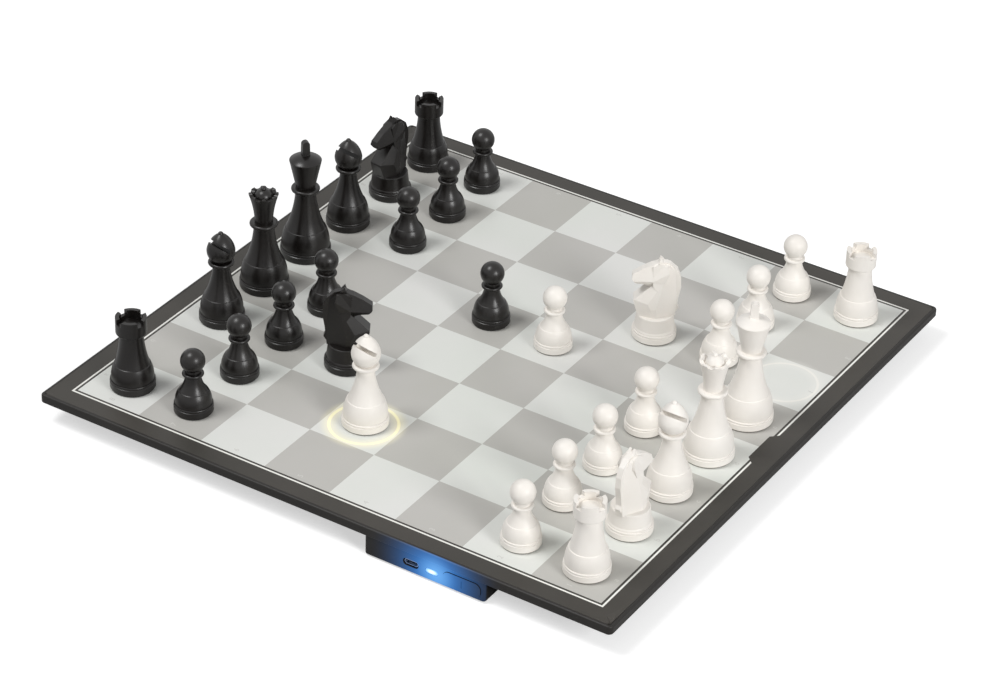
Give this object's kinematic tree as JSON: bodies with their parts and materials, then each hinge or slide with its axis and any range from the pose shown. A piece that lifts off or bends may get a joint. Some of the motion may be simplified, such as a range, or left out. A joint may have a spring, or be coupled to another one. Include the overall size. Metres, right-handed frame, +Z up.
{
  "type": "electronic chess computer",
  "caption": "Slim electronic chessboard with light rings under its squares, a control pod with power button, status light and USB port at one edge, and a full set of weighted chess pieces.",
  "frame": {"origin": "middle of the footprint, on the table that the foot pads stand on", "axes": "+Z up, +Y from the white side to the black side, +X from file a to file h, so the control pod is on the -X side"},
  "size_m": [0.392, 0.392, 0.1003],
  "materials": {
    "battery": "foil pouch",
    "battery_foam": "soft foam pad",
    "battery_leads": "insulated wire",
    "black_piece": "satin black moulding",
    "chip": "moulded chip package",
    "circuit_board": "coated circuit laminate",
    "connectors": "moulded connector housing",
    "foot_pads": "matte rubber",
    "frame": "fine-textured black moulding",
    "led": "small moulded LED",
    "light_panel": "white moulded diffuser",
    "light_pipe": "clear light guide, lit blue",
    "light_rings": "clear light guide",
    "playing_sheet": "satin printed sheet in light and dark squares with a dark border",
    "pod_shell": "fine-textured black moulding",
    "power_button": "satin black moulding",
    "push_switch": "moulded switch housing",
    "radio_can": "pressed shielding can",
    "ribbon_cable": "flat flexible film",
    "screws": "zinc-plated",
    "tray": "fine-textured black moulding",
    "usb_port": "folded nickel-plated shell",
    "white_piece": "satin warm white moulding"
  },
  "bodies": {
    "board": {"battery": "battery", "battery_foam": "battery_foam", "battery_leads": "battery_leads", "battery_socket": "connectors", "foot_pads": "foot_pads", "frame": "frame", "legs": "tray", "light_panel": "light_panel", "light_pipe": "light_pipe", "light_rings": "light_rings", "main_board": "circuit_board", "main_board_screws": "screws", "piece_sensors": "chip", "playing_sheet": "playing_sheet", "pod_screws": "screws", "pod_shell": "pod_shell", "push_switch": "push_switch", "radio_module": "radio_can", "ribbon_cable": "ribbon_cable", "ribbon_connectors": "connectors", "ring_leds": "led", "sensor_board": "circuit_board", "status_led": "led", "tray": "tray", "tray_screws": "screws", "usb_port": "usb_port"},
    "button": {"power_button": "power_button", "switch_plunger": "chip"},
    "black_bishop_c8_piece": {"black_bishop_c8": "black_piece"},
    "black_bishop_f8_piece": {"black_bishop_f8": "black_piece"},
    "black_king_e8_piece": {"black_king_e8": "black_piece"},
    "black_knight_c6_piece": {"black_knight_c6": "black_piece"},
    "black_knight_g8_piece": {"black_knight_g8": "black_piece"},
    "black_pawn_a7_piece": {"black_pawn_a7": "black_piece"},
    "black_pawn_b7_piece": {"black_pawn_b7": "black_piece"},
    "black_pawn_c7_piece": {"black_pawn_c7": "black_piece"},
    "black_pawn_d7_piece": {"black_pawn_d7": "black_piece"},
    "black_pawn_e5_piece": {"black_pawn_e5": "black_piece"},
    "black_pawn_f7_piece": {"black_pawn_f7": "black_piece"},
    "black_pawn_g7_piece": {"black_pawn_g7": "black_piece"},
    "black_pawn_h7_piece": {"black_pawn_h7": "black_piece"},
    "black_queen_d8_piece": {"black_queen_d8": "black_piece"},
    "black_rook_a8_piece": {"black_rook_a8": "black_piece"},
    "black_rook_h8_piece": {"black_rook_h8": "black_piece"},
    "white_bishop_b5_piece": {"white_bishop_b5": "white_piece"},
    "white_bishop_c1_piece": {"white_bishop_c1": "white_piece"},
    "white_king_e1_piece": {"white_king_e1": "white_piece"},
    "white_knight_b1_piece": {"white_knight_b1": "white_piece"},
    "white_knight_f3_piece": {"white_knight_f3": "white_piece"},
    "white_pawn_a2_piece": {"white_pawn_a2": "white_piece"},
    "white_pawn_b2_piece": {"white_pawn_b2": "white_piece"},
    "white_pawn_c2_piece": {"white_pawn_c2": "white_piece"},
    "white_pawn_d2_piece": {"white_pawn_d2": "white_piece"},
    "white_pawn_e4_piece": {"white_pawn_e4": "white_piece"},
    "white_pawn_f2_piece": {"white_pawn_f2": "white_piece"},
    "white_pawn_g2_piece": {"white_pawn_g2": "white_piece"},
    "white_pawn_h2_piece": {"white_pawn_h2": "white_piece"},
    "white_queen_d1_piece": {"white_queen_d1": "white_piece"},
    "white_rook_a1_piece": {"white_rook_a1": "white_piece"},
    "white_rook_h1_piece": {"white_rook_h1": "white_piece"}
  },
  "joints": [
    {"name": "power_button_press", "type": "slide", "parent": "board", "child": "button", "axis": [1, 0, 0], "range_m": [0, 0.0008], "stiffness_N_per_m": 800},
    {"name": "black_bishop_c8_lift", "type": "slide", "parent": "board", "child": "black_bishop_c8_piece", "axis": [0, 0, 1], "range_m": [0, 0.09]},
    {"name": "black_bishop_f8_lift", "type": "slide", "parent": "board", "child": "black_bishop_f8_piece", "axis": [0, 0, 1], "range_m": [0, 0.09]},
    {"name": "black_king_e8_lift", "type": "slide", "parent": "board", "child": "black_king_e8_piece", "axis": [0, 0, 1], "range_m": [0, 0.09]},
    {"name": "black_knight_c6_lift", "type": "slide", "parent": "board", "child": "black_knight_c6_piece", "axis": [0, 0, 1], "range_m": [0, 0.09]},
    {"name": "black_knight_g8_lift", "type": "slide", "parent": "board", "child": "black_knight_g8_piece", "axis": [0, 0, 1], "range_m": [0, 0.09]},
    {"name": "black_pawn_a7_lift", "type": "slide", "parent": "board", "child": "black_pawn_a7_piece", "axis": [0, 0, 1], "range_m": [0, 0.09]},
    {"name": "black_pawn_b7_lift", "type": "slide", "parent": "board", "child": "black_pawn_b7_piece", "axis": [0, 0, 1], "range_m": [0, 0.09]},
    {"name": "black_pawn_c7_lift", "type": "slide", "parent": "board", "child": "black_pawn_c7_piece", "axis": [0, 0, 1], "range_m": [0, 0.09]},
    {"name": "black_pawn_d7_lift", "type": "slide", "parent": "board", "child": "black_pawn_d7_piece", "axis": [0, 0, 1], "range_m": [0, 0.09]},
    {"name": "black_pawn_e5_lift", "type": "slide", "parent": "board", "child": "black_pawn_e5_piece", "axis": [0, 0, 1], "range_m": [0, 0.09]},
    {"name": "black_pawn_f7_lift", "type": "slide", "parent": "board", "child": "black_pawn_f7_piece", "axis": [0, 0, 1], "range_m": [0, 0.09]},
    {"name": "black_pawn_g7_lift", "type": "slide", "parent": "board", "child": "black_pawn_g7_piece", "axis": [0, 0, 1], "range_m": [0, 0.09]},
    {"name": "black_pawn_h7_lift", "type": "slide", "parent": "board", "child": "black_pawn_h7_piece", "axis": [0, 0, 1], "range_m": [0, 0.09]},
    {"name": "black_queen_d8_lift", "type": "slide", "parent": "board", "child": "black_queen_d8_piece", "axis": [0, 0, 1], "range_m": [0, 0.09]},
    {"name": "black_rook_a8_lift", "type": "slide", "parent": "board", "child": "black_rook_a8_piece", "axis": [0, 0, 1], "range_m": [0, 0.09]},
    {"name": "black_rook_h8_lift", "type": "slide", "parent": "board", "child": "black_rook_h8_piece", "axis": [0, 0, 1], "range_m": [0, 0.09]},
    {"name": "white_bishop_b5_lift", "type": "slide", "parent": "board", "child": "white_bishop_b5_piece", "axis": [0, 0, 1], "range_m": [0, 0.09]},
    {"name": "white_bishop_c1_lift", "type": "slide", "parent": "board", "child": "white_bishop_c1_piece", "axis": [0, 0, 1], "range_m": [0, 0.09]},
    {"name": "white_king_e1_lift", "type": "slide", "parent": "board", "child": "white_king_e1_piece", "axis": [0, 0, 1], "range_m": [0, 0.09]},
    {"name": "white_knight_b1_lift", "type": "slide", "parent": "board", "child": "white_knight_b1_piece", "axis": [0, 0, 1], "range_m": [0, 0.09]},
    {"name": "white_knight_f3_lift", "type": "slide", "parent": "board", "child": "white_knight_f3_piece", "axis": [0, 0, 1], "range_m": [0, 0.09]},
    {"name": "white_pawn_a2_lift", "type": "slide", "parent": "board", "child": "white_pawn_a2_piece", "axis": [0, 0, 1], "range_m": [0, 0.09]},
    {"name": "white_pawn_b2_lift", "type": "slide", "parent": "board", "child": "white_pawn_b2_piece", "axis": [0, 0, 1], "range_m": [0, 0.09]},
    {"name": "white_pawn_c2_lift", "type": "slide", "parent": "board", "child": "white_pawn_c2_piece", "axis": [0, 0, 1], "range_m": [0, 0.09]},
    {"name": "white_pawn_d2_lift", "type": "slide", "parent": "board", "child": "white_pawn_d2_piece", "axis": [0, 0, 1], "range_m": [0, 0.09]},
    {"name": "white_pawn_e4_lift", "type": "slide", "parent": "board", "child": "white_pawn_e4_piece", "axis": [0, 0, 1], "range_m": [0, 0.09]},
    {"name": "white_pawn_f2_lift", "type": "slide", "parent": "board", "child": "white_pawn_f2_piece", "axis": [0, 0, 1], "range_m": [0, 0.09]},
    {"name": "white_pawn_g2_lift", "type": "slide", "parent": "board", "child": "white_pawn_g2_piece", "axis": [0, 0, 1], "range_m": [0, 0.09]},
    {"name": "white_pawn_h2_lift", "type": "slide", "parent": "board", "child": "white_pawn_h2_piece", "axis": [0, 0, 1], "range_m": [0, 0.09]},
    {"name": "white_queen_d1_lift", "type": "slide", "parent": "board", "child": "white_queen_d1_piece", "axis": [0, 0, 1], "range_m": [0, 0.09]},
    {"name": "white_rook_a1_lift", "type": "slide", "parent": "board", "child": "white_rook_a1_piece", "axis": [0, 0, 1], "range_m": [0, 0.09]},
    {"name": "white_rook_h1_lift", "type": "slide", "parent": "board", "child": "white_rook_h1_piece", "axis": [0, 0, 1], "range_m": [0, 0.09]}
  ]
}
